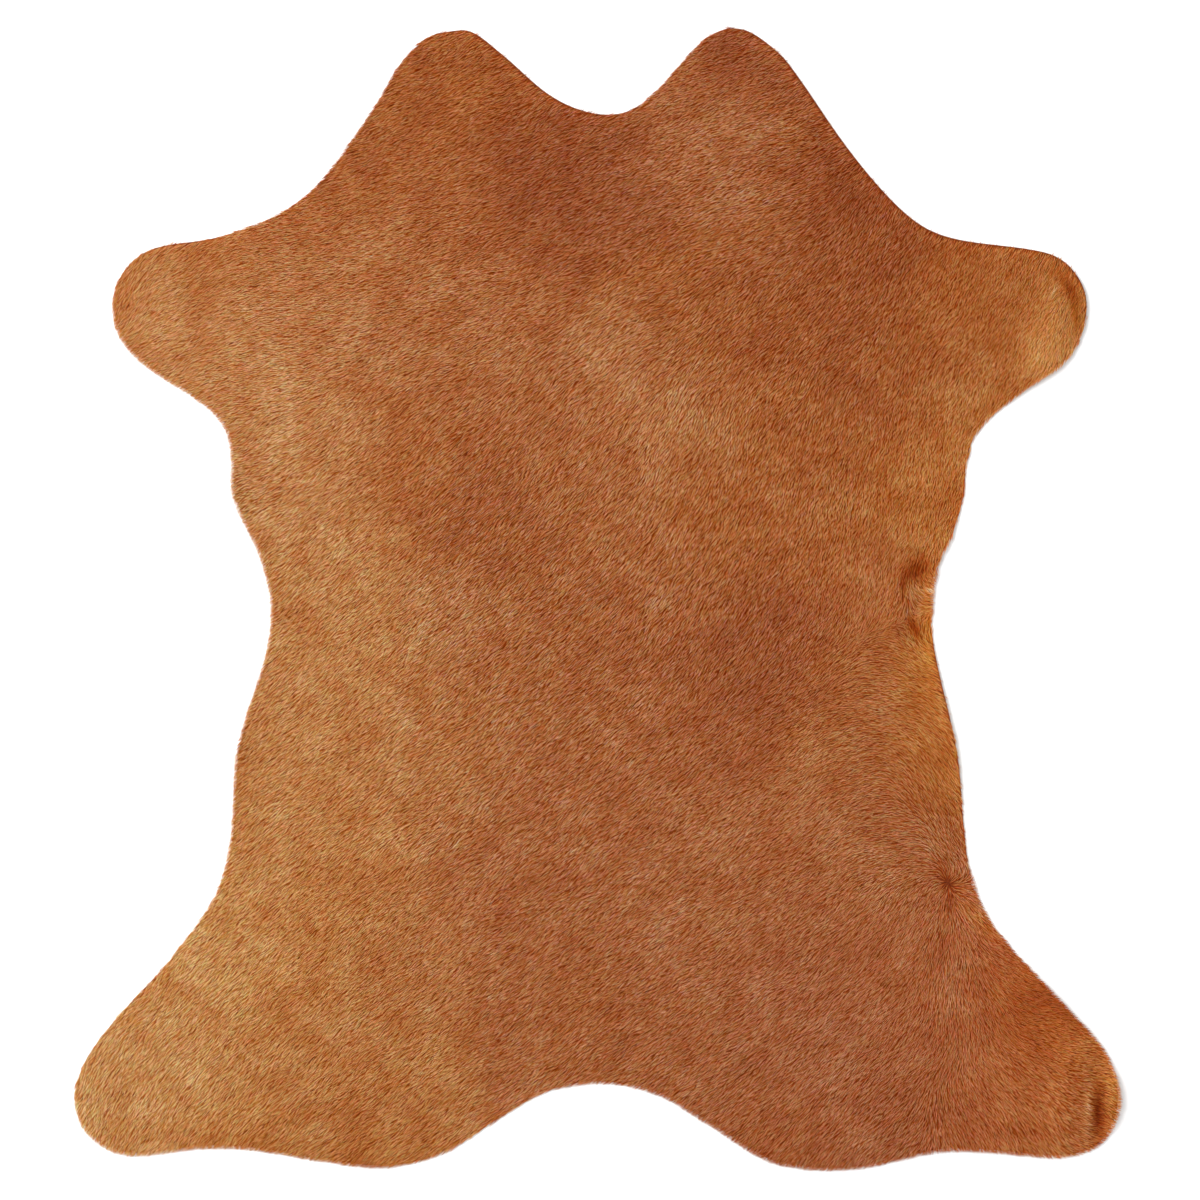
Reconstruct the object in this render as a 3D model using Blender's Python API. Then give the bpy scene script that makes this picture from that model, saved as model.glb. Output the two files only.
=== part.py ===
"""A small calf hide with its hair on, lying flat with the hair side up.

The hide is one cut piece: leather that lies on the floor, and on top of it a short
coat of hair that lies down. The solid holds both, so its top is where the hair
reaches. Two neck lobes are at +Y, the forelegs stick out below them, and the hind
legs with the arch between them are at -Y.

Metres, +Z up. The origin is on the floor, under the middle of the hide.
"""

import math

import bmesh
import bpy
from mathutils import Vector
from mathutils.geometry import interpolate_bezier

MM = 0.001

# Driving dimensions.
LEATHER = 1.5 * MM  # the cut edge of the leather, which shows all round the rim
COAT = 2.5 * MM  # how far the lying hair stands above the leather
ROUNDING = 5.0 * MM  # the strip along the rim where the coat thins out to nothing
CURVE_STEP = 12.0 * MM  # the longest side of the outline's facets
GRID = 20.0 * MM  # the facets across the hide
FINE_GRID = 7.0 * MM  # the facets where a small lift or crease needs them
SNAP = 0.8 * MM  # a corner this near to a grid line is moved onto it

HAIR_COLOUR = (0.376, 0.125, 0.041, 1.0)  # reddish tan, in linear light
HAIR_ROUGHNESS = 0.55

# The cut edge, seen from above and walked clockwise from the left side of the neck.
# Each stretch has its name and its corners, x and y in millimetres. A smooth curve
# runs through all of them.
OUTLINE = {
    "left neck lobe": [(-188, 406), (-162, 448), (-141, 468), (-123, 473), (-105, 473), (-79, 454)],
    "neck notch": [(-36, 418), (3, 404), (34, 410), (59, 434)],
    "right neck lobe": [(89, 466), (107, 475), (124, 474), (142, 463), (159, 447)],
    "right shoulder": [(208, 377), (243, 335), (271, 311), (300, 300)],
    "right foreleg": [(373, 289), (394, 277), (407, 252), (404, 222), (388, 196), (346, 166)],
    "right elbow": [(318, 141), (308, 114), (306, 88)],
    "right flank": [(297, 57), (284, 28), (279, -2), (281, -40), (300, -128), (306, -190)],
    "right thigh": [(312, -232), (330, -272), (373, -321)],
    "right hind leg": [(418, -370), (431, -395), (435, -414), (431, -435), (419, -454), (394, -464)],
    "right hind edge": [(365, -464), (325, -460), (285, -460)],
    "right rump lobe": [(235, -471), (205, -475), (172, -474), (141, -467)],
    "arch between the legs": [(94, -438), (50, -412), (3, -403), (-41, -410), (-82, -433)],
    "left rump lobe": [(-118, -456), (-146, -468), (-178, -473), (-222, -469)],
    "left hind edge": [(-290, -458), (-330, -457)],
    "left hind leg": [(-382, -463), (-407, -458), (-429, -438), (-435, -412), (-427, -386), (-406, -356)],
    "left thigh": [(-354, -298), (-317, -245), (-305, -200), (-300, -130)],
    "left flank": [(-291, -95), (-276, -48), (-271, -8), (-280, 34), (-303, 86)],
    "left elbow": [(-304, 116), (-309, 141), (-326, 161)],
    "left foreleg": [(-379, 197), (-399, 222), (-403, 250), (-392, 276), (-370, 292)],
    "left shoulder": [(-319, 301), (-272, 317), (-239, 339), (-215, 367)],
}

# Where the leather stands off the floor. x, y: the middle of the lift. long, wide: how
# far it reaches each way from there. turn: its long direction, in degrees from +X.
# rise: how high the middle stands. All but the turn are in millimetres.
LIFTS = {
    # name: (x, y, long, wide, turn, rise)
    "right hind tip, hump": (395, -416, 50, 24, 84, 7.0),
    "right hind tip, curled rim": (447, -410, 66, 28, 94, 8.0),
    "right thigh edge": (396, -335, 70, 26, -48, 3.0),
    "right foreleg tip, hump": (387, 232, 54, 31, 65, 6.0),
    "right foreleg tip, lower edge": (376, 180, 52, 24, 36, 3.5),
    "right flank pucker": (254, 0, 36, 16, 84, 4.0),
    "right flank edge, upper": (292, 42, 44, 18, 62, 2.5),
    "right flank edge, lower": (300, -112, 96, 22, -78, 3.0),
    "left flank edge": (-300, 92, 34, 14, 96, 2.0),
    "left thigh edge": (-299, -122, 30, 14, 82, 2.0),
    "soft rise behind the neck": (46, 196, 95, 48, -56, 2.5),
}

# The strips that get the finer facets, as x from, x to, in millimetres.
FINE_STRIPS = [(240, 275), (384, 436)]


def smooth_ring(corners, longest):
    """Points along a closed smooth curve through the corners, no further apart than longest."""
    after = corners[1:] + corners[:1]
    before = corners[-1:] + corners[:-1]
    headings = [(there - back).normalized() for there, back in zip(after, before)]
    ring = []
    for here, there, leave, arrive in zip(corners, after, headings, headings[1:] + headings[:1]):
        reach = (there - here).length / 3
        pieces = max(2, math.ceil(3 * reach / longest))
        curve = interpolate_bezier(here, here + leave * reach, there - arrive * reach, there, pieces + 1)
        ring.extend(curve[:-1])
    return ring


def lift_at(x, y):
    """How high the underside of the leather stands off the floor at a place."""
    height = 0.0
    for across, along, long, wide, turn, rise in LIFTS.values():
        angle = math.radians(turn)
        dx = x / MM - across
        dy = y / MM - along
        u = (dx * math.cos(angle) + dy * math.sin(angle)) / long
        v = (dy * math.cos(angle) - dx * math.sin(angle)) / wide
        fall = 1.0 - u * u - v * v
        if fall > 0.0:
            height += rise * MM * fall * fall
    return height


def spread(low, high, pitch):
    """Evenly spread values from low to high, about a pitch apart."""
    count = max(1, round((high - low) / pitch))
    return [low + (high - low) * step / count for step in range(count + 1)]


def cut_lines(bm, axis, places):
    """Cut the sheet along straight lines across one axis, at each place."""
    normal = Vector((0, 0, 0))
    normal[axis] = 1.0
    for place in places:
        geom = bm.verts[:] + bm.edges[:] + bm.faces[:]
        bmesh.ops.bisect_plane(
            bm, geom=geom, dist=SNAP, plane_co=normal * place, plane_no=normal, use_snap_center=True
        )


def coat_sheet():
    """The hair's top as one sheet over the outline, at zero on the rim and level inside it."""
    corners = [Vector((x, y, 0)) * MM for stretch in OUTLINE.values() for x, y in stretch]
    ring = smooth_ring(corners, CURVE_STEP)
    ring.reverse()
    bm = bmesh.new()
    face = bm.faces.new([bm.verts.new(point) for point in ring])
    bmesh.ops.inset_individual(bm, faces=[face], thickness=ROUNDING, use_even_offset=True)
    for vert in bm.verts:
        vert.co.z = 0.0 if vert.is_boundary else COAT

    low = [min(point[axis] for point in ring) for axis in range(2)]
    high = [max(point[axis] for point in ring) for axis in range(2)]
    across = spread(low[0], high[0], GRID)
    for start, end in FINE_STRIPS:
        across += spread(start * MM, end * MM, FINE_GRID)
    cut_lines(bm, 0, across[1:-1])
    cut_lines(bm, 1, spread(low[1], high[1], GRID)[1:-1])
    return bm


def hide_mesh():
    """The closed solid of leather and coat, with its underside on the floor."""
    bm = coat_sheet()
    raised = bmesh.ops.extrude_face_region(bm, geom=bm.faces[:])["geom"]
    top = {item for item in raised if isinstance(item, bmesh.types.BMVert)}
    for vert in bm.verts:
        floor = lift_at(vert.co.x, vert.co.y)
        vert.co.z = floor + LEATHER + vert.co.z if vert in top else floor
    bmesh.ops.triangulate(bm, faces=bm.faces[:])
    bmesh.ops.recalc_face_normals(bm, faces=bm.faces[:])
    mesh = bpy.data.meshes.new("hide")
    bm.to_mesh(mesh)
    bm.free()
    return mesh


def hair_material():
    """The coat's reddish tan, with the soft shine of short hair."""
    material = bpy.data.materials.new("hair_on_hide")
    material.use_nodes = True
    shader = material.node_tree.nodes["Principled BSDF"]
    shader.inputs["Base Color"].default_value = HAIR_COLOUR
    shader.inputs["Roughness"].default_value = HAIR_ROUGHNESS
    shader.inputs["Metallic"].default_value = 0.0
    return material


def clear_scene():
    """Remove every object that the file opened with."""
    for item in list(bpy.data.objects):
        bpy.data.objects.remove(item, do_unlink=True)


def make_hide():
    """The hide as one object, at the origin."""
    mesh = hide_mesh()
    mesh.materials.append(hair_material())
    mesh.shade_smooth()
    hide = bpy.data.objects.new("hide", mesh)
    bpy.context.collection.objects.link(hide)


clear_scene()
make_hide()
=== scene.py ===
"""A whole calf hide with its hair on, lying flat with the hair side up.

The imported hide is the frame. Here it gets its looks: the leather as one soft sheet,
and on it a coat of short combed hair in five bands from neck to tail. A plain pale
floor and soft light from the left stand for the studio.

Metres, +Z up, +Y along the spine towards the neck. The tables are in millimetres.
"""

import logging
import math
from collections.abc import Sequence
from dataclasses import dataclass
from enum import Enum
from typing import Any

import bpy
import numpy as np
from bpy.types import ID, Material, Mesh, Node, NodeSocket, NodeTree, Object
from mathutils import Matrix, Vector
from mathutils.geometry import delaunay_2d_cdt, interpolate_bezier


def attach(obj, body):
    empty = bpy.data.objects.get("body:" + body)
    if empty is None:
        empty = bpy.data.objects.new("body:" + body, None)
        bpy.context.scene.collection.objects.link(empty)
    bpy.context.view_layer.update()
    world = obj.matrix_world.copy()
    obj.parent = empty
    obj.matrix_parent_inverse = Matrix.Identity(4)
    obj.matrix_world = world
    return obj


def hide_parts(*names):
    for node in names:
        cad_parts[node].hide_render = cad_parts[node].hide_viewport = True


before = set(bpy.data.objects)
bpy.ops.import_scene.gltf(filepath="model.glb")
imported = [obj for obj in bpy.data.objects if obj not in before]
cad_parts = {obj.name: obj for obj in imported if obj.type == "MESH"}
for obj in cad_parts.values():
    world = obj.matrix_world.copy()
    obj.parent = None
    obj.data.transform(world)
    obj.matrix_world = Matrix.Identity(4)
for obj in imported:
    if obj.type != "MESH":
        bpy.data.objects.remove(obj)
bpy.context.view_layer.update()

LOG = logging.getLogger("calf_hide")
MM = 0.001

# The cut edge, seen from above and walked clockwise from the left side of the neck,
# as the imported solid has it: corners in x and y, with a smooth curve through them.
OUTLINE = {
    "left neck lobe": [
        (-188, 406), (-162, 448), (-141, 468), (-123, 473), (-105, 473), (-79, 454),
    ],
    "neck notch": [(-36, 418), (3, 404), (34, 410), (59, 434)],
    "right neck lobe": [(89, 466), (107, 475), (124, 474), (142, 463), (159, 447)],
    "right shoulder": [(208, 377), (243, 335), (271, 311), (300, 300)],
    "right foreleg": [(373, 289), (394, 277), (407, 252), (404, 222), (388, 196), (346, 166)],
    "right elbow": [(318, 141), (308, 114), (306, 88)],
    "right flank": [(297, 57), (284, 28), (279, -2), (281, -40), (300, -128), (306, -190)],
    "right thigh": [(312, -232), (330, -272), (373, -321)],
    "right hind leg": [
        (418, -370), (431, -395), (435, -414), (431, -435), (419, -454), (394, -464),
    ],
    "right hind edge": [(365, -464), (325, -460), (285, -460)],
    "right rump lobe": [(235, -471), (205, -475), (172, -474), (141, -467)],
    "arch between the legs": [(94, -438), (50, -412), (3, -403), (-41, -410), (-82, -433)],
    "left rump lobe": [(-118, -456), (-146, -468), (-178, -473), (-222, -469)],
    "left hind edge": [(-290, -458), (-330, -457)],
    "left hind leg": [
        (-382, -463), (-407, -458), (-429, -438), (-435, -412), (-427, -386), (-406, -356),
    ],
    "left thigh": [(-354, -298), (-317, -245), (-305, -200), (-300, -130)],
    "left flank": [(-291, -95), (-276, -48), (-271, -8), (-280, 34), (-303, 86)],
    "left elbow": [(-304, 116), (-309, 141), (-326, 161)],
    "left foreleg": [(-379, 197), (-399, 222), (-403, 250), (-392, 276), (-370, 292)],
    "left shoulder": [(-319, 301), (-272, 317), (-239, 339), (-215, 367)],
}

# Where the leather stands off the floor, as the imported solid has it. Each rise is an oval:
# long and wide are half its length and its width.
LIFTS = {
    # name: (x, y, long, wide, turn in degrees from +X, rise)
    "right hind tip, hump": (395, -416, 50, 24, 84, 7.0),
    "right hind tip, curled rim": (447, -410, 66, 28, 94, 8.0),
    "right thigh edge": (396, -335, 70, 26, -48, 3.0),
    "right foreleg tip, hump": (387, 232, 54, 31, 65, 6.0),
    "right foreleg tip, lower edge": (376, 180, 52, 24, 36, 3.5),
    "right flank pucker": (254, 0, 36, 16, 84, 4.0),
    "right flank edge, upper": (292, 42, 44, 18, 62, 2.5),
    "right flank edge, lower": (300, -112, 96, 22, -78, 3.0),
    "left flank edge": (-300, 92, 34, 14, 96, 2.0),
    "left thigh edge": (-299, -122, 30, 14, 82, 2.0),
    "soft rise behind the neck": (46, 196, 95, 48, -56, 2.5),
}

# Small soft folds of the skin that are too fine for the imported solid.
FOLDS = {
    # name: (x, y, long, wide, turn in degrees from +X, rise)
    "right hind tip, before the crease": (408, -429, 30, 9, 88, 2.2),
    "right hind tip, after the crease": (428, -426, 32, 8, 91, 2.0),
    "flank swirl, left of the parting": (246, 12, 20, 9, 86, 1.6),
    "flank swirl, tongue": (270, 1, 14, 9, 0, 1.8),
    "flank swirl, above": (262, 42, 16, 10, 10, 1.4),
    "flank swirl, below": (252, -30, 18, 9, -65, 1.4),
    "right foreleg, crest": (383, 240, 34, 10, 76, 1.5),
}

# Which way the hair lies. lie: where the tips point, in degrees from +X towards +Y.
# reach: how far the mark is felt.
COMBING = {
    # name: (x, y, lie, reach)
    "left neck lobe": (-125, 425, 210, 70),
    "right neck lobe": (120, 420, 206, 70),
    "neck, left side": (-170, 330, 202, 60),
    "neck, middle": (-20, 350, 210, 70),
    "neck, right side": (140, 330, 203, 50),
    "right shoulder edge": (240, 300, 238, 50),
    "left shoulder": (-250, 240, 192, 60),
    "withers, left": (-130, 250, 202, 70),
    "withers, right": (20, 250, 212, 60),
    "behind the right shoulder": (150, 230, 226, 60),
    "left foreleg": (-340, 230, 213, 50),
    "left foreleg, upper edge": (-352, 280, 222, 30),
    "left foreleg, root": (-280, 192, 183, 28),
    "left foreleg tip": (-398, 258, 252, 24),
    "right foreleg": (310, 240, 240, 50),
    "right foreleg tip": (390, 240, 246, 40),
    "left elbow": (-285, 120, 205, 50),
    "left ribs, front": (-180, 120, 220, 80),
    "ribs, middle": (-30, 110, 229, 80),
    "right ribs, front": (110, 110, 243, 70),
    "right ribs, edge": (230, 100, 250, 60),
    "left flank": (-220, -20, 222, 70),
    "back, middle": (-60, -20, 220, 90),
    "back, right": (110, 0, 236, 80),
    "above the flank swirl": (225, 25, 252, 40),
    "loin, left": (-200, -150, 216, 90),
    "loin, middle": (0, -140, 218, 90),
    "loin, right": (150, -130, 214, 60),
    "inner flank band": (215, -110, 195, 35),
    "flank band": (255, -90, 160, 35),
    "flank band edge": (285, -130, 122, 35),
    "top of the flank band": (240, -50, 176, 20),
    "top of the flank band, left": (206, -55, 222, 22),
    "top of the flank band, edge": (270, -45, 142, 20),
    "flank swirl, right of the hollow": (275, 17, 338, 8),
    "flank swirl, under the hollow": (262, 8, 312, 7),
    "flank swirl, sweep to the edge": (274, 0, 354, 8),
    "flank swirl, tongue": (268, -10, 16, 7),
    "flank swirl, golden rim": (277, -28, 52, 10),
    "flank swirl, under the lower hollow": (264, -36, 98, 9),
    "left haunch": (-250, -300, 222, 80),
    "rump, left": (-90, -320, 214, 90),
    "rump, right": (90, -320, 212, 90),
    "right haunch": (215, -330, 220, 60),
    "under the hind swirl": (250, -300, 232, 35),
    "hind swirl, far left": (240, -202, 188, 20),
    "hind swirl, left": (268, -222, 198, 12),
    "hind swirl, above": (292, -210, 120, 15),
    "hind swirl, edge above": (306, -224, 108, 8),
    "hind swirl, tuft": (295, -231, 62, 5),
    "hind swirl, right": (304, -241, 2, 7),
    "hind swirl, lower right": (314, -258, 330, 11),
    "hind swirl, right of its foot": (303, -255, 303, 7),
    "hind swirl, foot": (293, -257, 268, 8),
    "hind swirl, left of its foot": (277, -247, 232, 10),
    "fan under the hind swirl, left": (270, -280, 240, 16),
    "fan under the hind swirl, middle": (292, -288, 270, 14),
    "fan under the hind swirl, right": (313, -282, 303, 14),
    "thigh edge under the hind swirl": (334, -290, 334, 16),
    "below the hind swirl": (292, -330, 268, 30),
    "right thigh": (318, -330, 292, 26),
    "right thigh edge": (352, -322, 348, 26),
    "right hind leg": (362, -392, 322, 30),
    "right hind leg, upper edge": (392, -366, 354, 28),
    "right hind tip": (420, -410, 340, 35),
    "right hind edge": (330, -440, 300, 35),
    "left hind leg": (-350, -390, 228, 60),
    "left hind tip": (-410, -420, 246, 40),
    "left rump lobe": (-180, -450, 218, 60),
    "right rump lobe": (190, -450, 224, 60),
}

# Where the coat is paler or deeper, more golden or dustier, and crisper or softer. tone:
# -1 is deep and 1 is pale. gold: -1 is dusty and 1 is golden. crisp: how much its hairs
# differ from each other. reach: how far the mark is felt. Part of the paleness on the left
# side, on the right foreleg tip and on the flank band is painted light, where the coat
# faces the light.
SHADES_AND_PAINTED_LIGHT = {
    # name: (x, y, reach, tone, gold, crisp)
    "left neck lobe": (-112, 438, 55, -0.22, 0.05, 0.9),
    "neck, left edge": (-196, 372, 34, -0.2, -0.1, 0.9),
    "neck, left side": (-130, 335, 34, 0.05, -0.15, 0.92),
    "neck, right of the middle": (32, 345, 34, -0.15, -0.3, 1.0),
    "neck, middle": (-30, 350, 55, -0.85, -0.08, 1.0),
    "right neck lobe, tip": (118, 458, 34, -0.6, -0.3, 0.9),
    "right neck lobe, root": (100, 392, 42, 0.2, -0.3, 0.9),
    "right shoulder edge": (212, 338, 52, -0.8, 0.1, 1.0),
    "behind the right shoulder": (196, 225, 70, -0.4, 0.15, 1.0),
    "withers, right": (72, 258, 46, -0.15, 0.15, 1.0),
    "withers, pale slope": (36, 226, 34, 0.6, -0.15, 0.92),
    "withers, pale foot of the slope": (70, 152, 38, 0.66, -0.1, 0.88),
    "withers, right edge": (142, 285, 30, 0.05, -0.05, 1.0),
    "withers, left": (-110, 230, 70, 0.21, -0.2, 0.92),
    "neck, right side": (125, 352, 42, 0.3, -0.22, 1.0),
    "left shoulder, upper edge": (-240, 330, 32, -0.1, -0.2, 0.85),
    "right foreleg": (325, 245, 45, 0.25, 0.2, 0.68),
    "right foreleg, root": (278, 198, 36, 0.3, 0.15, 0.85),
    "right elbow": (320, 160, 34, 0.7, 0.25, 0.62),
    # Painted light: the foreleg tip's slope that faces the light.
    "right foreleg tip": (378, 226, 34, 1.15, -0.05, 0.28),
    "right ribs": (160, 110, 70, 0.12, 0.2, 0.95),
    "right ribs, edge": (272, 90, 38, 0.6, 0.3, 0.6),
    "back, deep patch on the right": (150, -58, 60, -0.5, -0.1, 1.0),
    "left of the flank swirl": (236, 22, 30, 0.45, -0.25, 0.62),
    "beside the flank band": (225, -62, 36, 0.45, -0.1, 0.75),
    # Partly painted light: the flank band catches the light.
    "flank band": (276, -60, 24, 0.8, 0.5, 0.5),
    "flank band, lower": (290, -130, 32, 0.55, 0.5, 0.66),
    "loin, upper right": (200, -122, 34, 0.4, 0.0, 0.85),
    "right rump lobe": (160, -452, 36, -0.4, -0.1, 0.85),
    "haunch, right edge": (265, -408, 34, -0.42, -0.5, 0.8),
    "loin, right": (205, -180, 60, 0.3, -0.35, 0.8),
    "haunch, right": (200, -400, 90, 0.08, -0.6, 0.85),
    "under the hind swirl": (262, -306, 36, 0.15, -0.62, 0.6),
    "right thigh": (300, -350, 50, 0.04, -0.7, 0.56),
    "right thigh, edge": (362, -342, 36, -0.72, 0.35, 0.58),
    "right hind leg, upper rim": (420, -386, 20, 0.65, 0.2, 0.7),
    "right hind leg, root": (318, -412, 34, -0.2, -0.3, 0.7),
    "right hind leg": (375, -410, 40, 0.1, 0.1, 0.86),
    # The pale rows of the left side are partly painted light, on the side nearer the light.
    "left shoulder": (-235, 262, 56, 0.53, -0.3, 0.76),
    "left foreleg, upper edge": (-330, 288, 34, 0.3, -0.2, 0.65),
    "left foreleg tip, upper side": (-394, 272, 20, 0.4, -0.1, 0.6),
    "left foreleg": (-355, 230, 50, 0.9, -0.35, 0.55),
    "left ribs": (-250, 120, 66, 0.92, -0.2, 0.7),
    "back, deep patch on the left": (-82, 62, 50, -0.4, 0.1, 1.1),
    "left flank": (-235, -20, 70, 0.87, 0.0, 0.77),
    "left loin, inner side": (-130, -125, 45, 0.68, 0.1, 0.92),
    "left ribs, inner side": (-152, 125, 40, 0.0, 0.0, 0.95),
    "left loin, lower inner side": (-152, -295, 34, 0.45, -0.05, 0.88),
    "left haunch, inner side": (-225, -240, 42, 0.5, 0.12, 0.8),
    "left hind edge": (-305, -450, 36, 0.55, 0.25, 0.75),
    "left loin": (-255, -180, 70, 0.88, 0.0, 0.72),
    "left haunch, lower inner side": (-262, -342, 28, 0.6, 0.1, 0.75),
    "left haunch": (-315, -275, 66, 1.2, 0.1, 0.67),
    "left hind leg": (-370, -390, 66, 1.08, -0.02, 0.66),
    "rump, left": (-190, -415, 55, 0.6, 0.05, 0.8),
    "back, deep patch in the middle": (20, -28, 26, -0.35, 0.0, 1.05),
    "back, left of the middle": (-116, -4, 32, 0.6, -0.1, 1.0),
    "back, right of the middle": (68, 10, 22, 0.2, -0.1, 1.0),
    "back, middle": (-60, -60, 60, 0.05, 0.0, 1.05),
    "loin, lower right": (158, -256, 32, -0.1, -0.4, 0.88),
    "loin, foot": (32, -298, 26, 0.35, -0.5, 0.92),
    "loin, right of the middle": (92, -242, 46, 0.3, -0.3, 0.9),
    "loin, middle": (0, -190, 90, 0.04, -0.25, 0.95),
    "rump, deep patch": (-2, -335, 34, -0.38, -0.15, 0.92),
    "rump, left edge": (-180, -458, 28, 0.1, 0.3, 0.8),
    "rump, above the arch": (-15, -388, 32, 0.4, -0.2, 0.92),
    "rump, middle": (30, -365, 70, 0.0, -0.3, 0.92),
    "ribs, middle": (0, 98, 50, 0.2, -0.1, 0.95),
}

# Small places where the hair parts or swirls and where the hide bends: painted shade in
# hollows, creases and roll-offs, painted highlights on rims, crests and tufts that catch the
# light, and some golden edges. tone and gold are added to those of the coat.
MARKS_AND_PAINTED_LIGHT = {
    # name: (x, y, long, wide, turn in degrees from +X, tone, gold)
    # Painted shade in the flank swirl's two hollows and a painted highlight on the tuft at its
    # edge; the parting is darker and the pale tuft paler.
    "flank swirl, upper hollow": (264.5, 24.0, 10.0, 7.5, 20, -2.4, 1.3),
    "flank swirl, parting": (254.5, 11.0, 8.0, 1.8, 88, -2.2, 1.0),
    "flank swirl, tuft on the edge": (278.0, 6.5, 4.0, 1.3, -10, 2.2, -1.6),
    "flank swirl, pale tuft": (258.0, -12.0, 3.0, 1.5, 15, 2.0, -1.6),
    "flank swirl, lower hollow": (263.5, -23.0, 10.0, 3.6, -65, -2.4, 1.3),
    "flank, golden rim": (277.0, -12.0, 34.0, 7.0, 92, 0.1, 1.0),
    # Painted shade in the hind tip's crease, and painted light on the hump before it and on its
    # rim.
    "hind tip, crease": (417.5, -427.0, 22.0, 3.4, 89, -3.2, 1.9),
    "hind tip, before the crease": (409.0, -425.0, 22.0, 3.5, 88, 0.8, -0.2),
    "hind tip, rim": (429.0, -414.0, 32.0, 4.5, 92, 0.35, 0.8),
    # Painted shade where the foreleg tip rolls off, away from the light.
    "foreleg, roll-off": (391.5, 259.5, 16.0, 4.2, -55, -1.8, 0.6),
    "foreleg, roll-off, lower": (397.0, 236.0, 14.0, 3.4, -80, -0.9, 0.7),
    "hind swirl, tuft": (291.5, -236.0, 5.0, 3.0, 55, -1.4, 1.6),
    "hind swirl, right of the tuft": (302.0, -235.0, 3.5, 3.0, 90, -0.5, 0.6),
    "hind swirl, foot": (293.0, -252.0, 7.0, 3.0, 80, -0.9, 0.2),
    # Painted shade in the hollow under the hind swirl.
    "fan under the hind swirl, hollow": (287.0, -290.0, 12.0, 5.0, 80, -0.8, 0.1),
    "thigh edge, golden": (320.0, -269.0, 20.0, 5.0, -48, 0.0, 0.9),
    # Painted light on the foreleg's crest.
    "foreleg, crest": (384.0, 229.0, 24.0, 8.0, 80, 0.4, 0.0),
    "foreleg, tuft on the crest": (380.0, 256.0, 5.0, 2.0, 60, 1.0, -0.6),
}

# Far from all of a table's marks, this trace of them still steers the hair or shades it.
FAR_LIE = 1e-9
FAR_SHADE = 1e-6
NEAREST = 0.01  # keeps that trace finite on the mark itself

ROW = 0.866  # the height of a triangle of equal sides, as a share of a side
PARALLEL = 1e-12  # two lines count as parallel below this
NEVER_MET = 1.0  # how far off a line is that is never met
ONLY_INSIDE = 1  # makes delaunay_2d_cdt drop the triangles outside the edges


def linear(code: str) -> tuple[float, float, float, float]:
    """Turn an sRGB hex colour into the linear light that a shader takes.

    Args:
        code: the colour as #RRGGBB.

    Returns:
        Red, green, blue and an alpha of 1, in linear light.
    """
    # These numbers are those of the sRGB standard.
    parts = [int(code[at : at + 2], 16) / 255 for at in (1, 3, 5)]
    light = [
        part / 12.92 if part <= 0.04045 else ((part + 0.055) / 1.055) ** 2.4 for part in parts
    ]
    return light[0], light[1], light[2], 1.0


def fill(node: Node, inputs: dict[Any, Any]) -> None:
    """Give a node's inputs their links and their values.

    Args:
        node: the node.
        inputs: what each input gets, by its name or number: another node's output is
            linked and anything else is set as the value.
    """
    for name, value in inputs.items():
        if isinstance(value, NodeSocket):
            node.id_data.links.new(value, node.inputs[name])
        else:
            node.inputs[name].default_value = value


def add_node(
    tree: NodeTree, kind: str, inputs: dict[Any, Any] | None = None, **settings: Any
) -> Node:
    """Add one node to a tree with its settings, its values and its links.

    Args:
        tree: the shader or geometry tree.
        kind: the node's type name.
        inputs: what its inputs get, as fill takes it.
        settings: the node's own properties.

    Returns:
        The new node.
    """
    node = tree.nodes.new(kind)
    for name, value in settings.items():
        setattr(node, name, value)
    fill(node, inputs or {})
    return node


def smooth_ring(corners: list[Vector], longest: float) -> list[Vector]:
    """Find points along a closed smooth curve.

    Args:
        corners: the points that the curve runs through.
        longest: the most that two neighbouring points may be apart.

    Returns:
        The points, once round.
    """
    after = corners[1:] + corners[:1]
    before = corners[-1:] + corners[:-1]
    headings = [(there - back).normalized() for there, back in zip(after, before)]
    ring: list[Vector] = []
    for here, there, leave, arrive in zip(corners, after, headings, headings[1:] + headings[:1]):
        reach = (there - here).length / 3
        pieces = max(2, math.ceil(3 * reach / longest))
        first, second = here + leave * reach, there - arrive * reach
        ring.extend(interpolate_bezier(here, first, second, there, pieces + 1)[:-1])
    return ring


def felt(places: np.ndarray, mark: Sequence[float], far: float) -> np.ndarray:
    """Say how strongly a round mark is felt.

    Args:
        places: x and y of each place, in metres.
        mark: x, y and reach, in millimetres.
        far: the trace of it that stays far away.

    Returns:
        The weight at each place.
    """
    x, y, reach = mark
    away = np.linalg.norm(places / MM - (x, y), axis=1) / reach
    return np.exp(-away * away) + far / (NEAREST + away)


def on_oval(places: np.ndarray, oval: Sequence[float]) -> tuple[np.ndarray, np.ndarray]:
    """Say where places are on an oval.

    Args:
        places: x and y of each place, in metres.
        oval: x, y, half the length, half the width and the turn, as in the tables.

    Returns:
        How far each place is along and across it: 0 in the middle and 1 at the rim.
    """
    x, y, long, wide, turn = oval
    angle = math.radians(turn)
    dx, dy = (places / MM - (x, y)).T
    u = (dx * math.cos(angle) + dy * math.sin(angle)) / long
    v = (dy * math.cos(angle) - dx * math.sin(angle)) / wide
    return u, v


def lift_at(places: np.ndarray) -> np.ndarray:
    """Say how high the underside of the leather stands off the floor.

    Args:
        places: x and y of each place, in metres.

    Returns:
        The height at each place, in metres.
    """
    height = np.zeros(len(places))
    for *oval, rise in (*LIFTS.values(), *FOLDS.values()):
        u, v = on_oval(places, oval)
        fall = np.clip(1.0 - u * u - v * v, 0.0, None)
        height += rise * MM * fall * fall
    return height


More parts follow.
